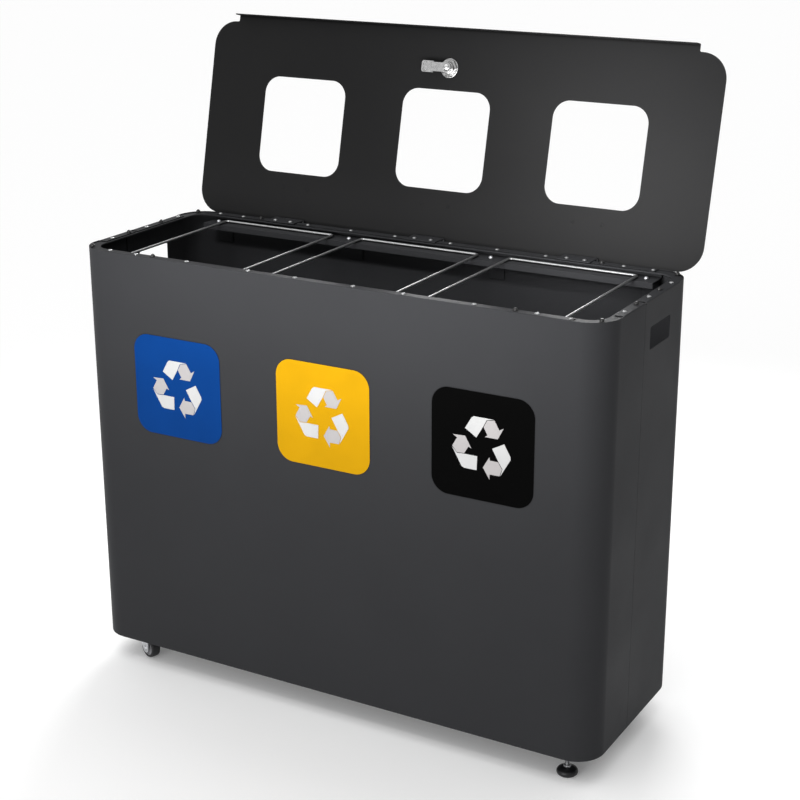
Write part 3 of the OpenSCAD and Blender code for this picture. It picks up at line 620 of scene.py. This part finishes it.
def make_tyre(end):
    """Tread with rounded shoulders and a thin moulding ridge on each side"""
    joint = JOINT_OF[end + "_wheel"]
    node = end + "_caster_tyre"
    centre = Vector(joint["pos_m"])
    u, v, w = basis(joint["axis"])
    points = [vert.co for vert in frame["nodes"][node].data.vertices]
    reach = reach_of(points, centre, w)
    half = max(h for h, _ in reach)
    inner = min(r for _, r in reach)
    wall = max(r for _, r in reach) - inner
    side = [(inner + wall * r, half * h) for r, h in TYRE_PROFILE]
    section = side + [(r, -h) for r, h in reversed(side)]
    bm = bmesh.new()
    loops = [[bm.verts.new(centre + w * h + (u * math.cos(a) + v * math.sin(a)) * r)
              for r, h in section] for a in angles(TYRE_STEPS)]
    skin(bm, loops + loops[:1])
    publish("tread_" + node, bm, node)


make_rivets("rim_rivets", UP)
make_rivets("hinge_body_rivets", UP)
make_rivets("hinge_lid_rivets", lid_normal())
for end in ("front", "rear"):
    make_foot(end)
    make_tyre(end)


# ---------- softened edges ----------

# Allowed change in box and volume, by which a spoilt result is found
SOFT_BOX = 0.0002
SOFT_VOLUME = 0.04
SHARP_ABOVE = math.radians(35)
FLAT_BELOW = math.radians(0.3)
WIDTH_TRIES = (1.0, 0.6, 0.3)

# width in metres: nodes
SOFT_EDGES = {
    0.0008: ("front_shell", "rear_shell", "top_ring"),
    0.00035: ("rear_shelf", "seam_strips", "base_tray", "caster_rail",
              "foot_rail", "shelf_brackets", "frame_brackets"),
    0.0004: ("lid_panel", "hinge_body_leaves", "hinge_lid_leaves",
             "front_caster_plate", "rear_caster_plate"),
    0.0005: ("lock_nut", "lock_cam", "lock_housing", "lock_washer", "lock_plug",
             "lock_cam_screw", "foot_locknuts", "foot_inserts", "shelf_nuts",
             "caster_nuts", "front_caster_hub", "rear_caster_hub"),
    0.0006: ("front_caster_fork", "rear_caster_fork"),
    0.00015: ("label_blue", "label_yellow", "label_black"),
    0.0001: ("label_arrow_tails", "label_arrow_heads"),
    0.0002: ("lid_buffers", "shelf_bolts", "caster_bolts", "front_caster_axle",
             "rear_caster_axle", "front_kingpin", "rear_kingpin", "hinge_pins",
             "left_bag_frame", "middle_bag_frame", "right_bag_frame"),
}


def measure(bm):
    points = [v.co for v in bm.verts]
    low = Vector([min(p[k] for p in points) for k in range(3)])
    high = Vector([max(p[k] for p in points) for k in range(3)])
    return low, high, bm.calc_volume(), sum(1 for e in bm.edges if not e.is_manifold)


def soften(node, width):
    """The CAD shape with its sharp edges rounded, or False if each result strays from it"""
    base = welded_copy(node)
    low, high, volume, open_edges = measure(base)
    for share in WIDTH_TRIES:
        bm = base.copy()
        bmesh.ops.dissolve_limit(bm, angle_limit=FLAT_BELOW, verts=bm.verts, edges=bm.edges)
        sharp = [e for e in bm.edges if e.is_manifold and e.calc_face_angle(0) > SHARP_ABOVE]
        bmesh.ops.bevel(bm, geom=sharp, offset=width * share, segments=2, profile=0.5,
                        affect="EDGES", clamp_overlap=True)
        bmesh.ops.dissolve_degenerate(bm, dist=1e-6, edges=bm.edges)
        new_low, new_high, new_volume, new_open = measure(bm)
        strays = max((new_low - low).length, (new_high - high).length)
        if (strays < SOFT_BOX + width and new_open <= open_edges
                and abs(new_volume / volume - 1) < SOFT_VOLUME):
            base.free()
            publish("soft_" + node, bm, node)
            return True
        bm.free()
    base.free()
    return False


for width, nodes in SOFT_EDGES.items():
    for node in nodes:
        if not soften(node, width):
            print("kept as a CAD shape:", node)
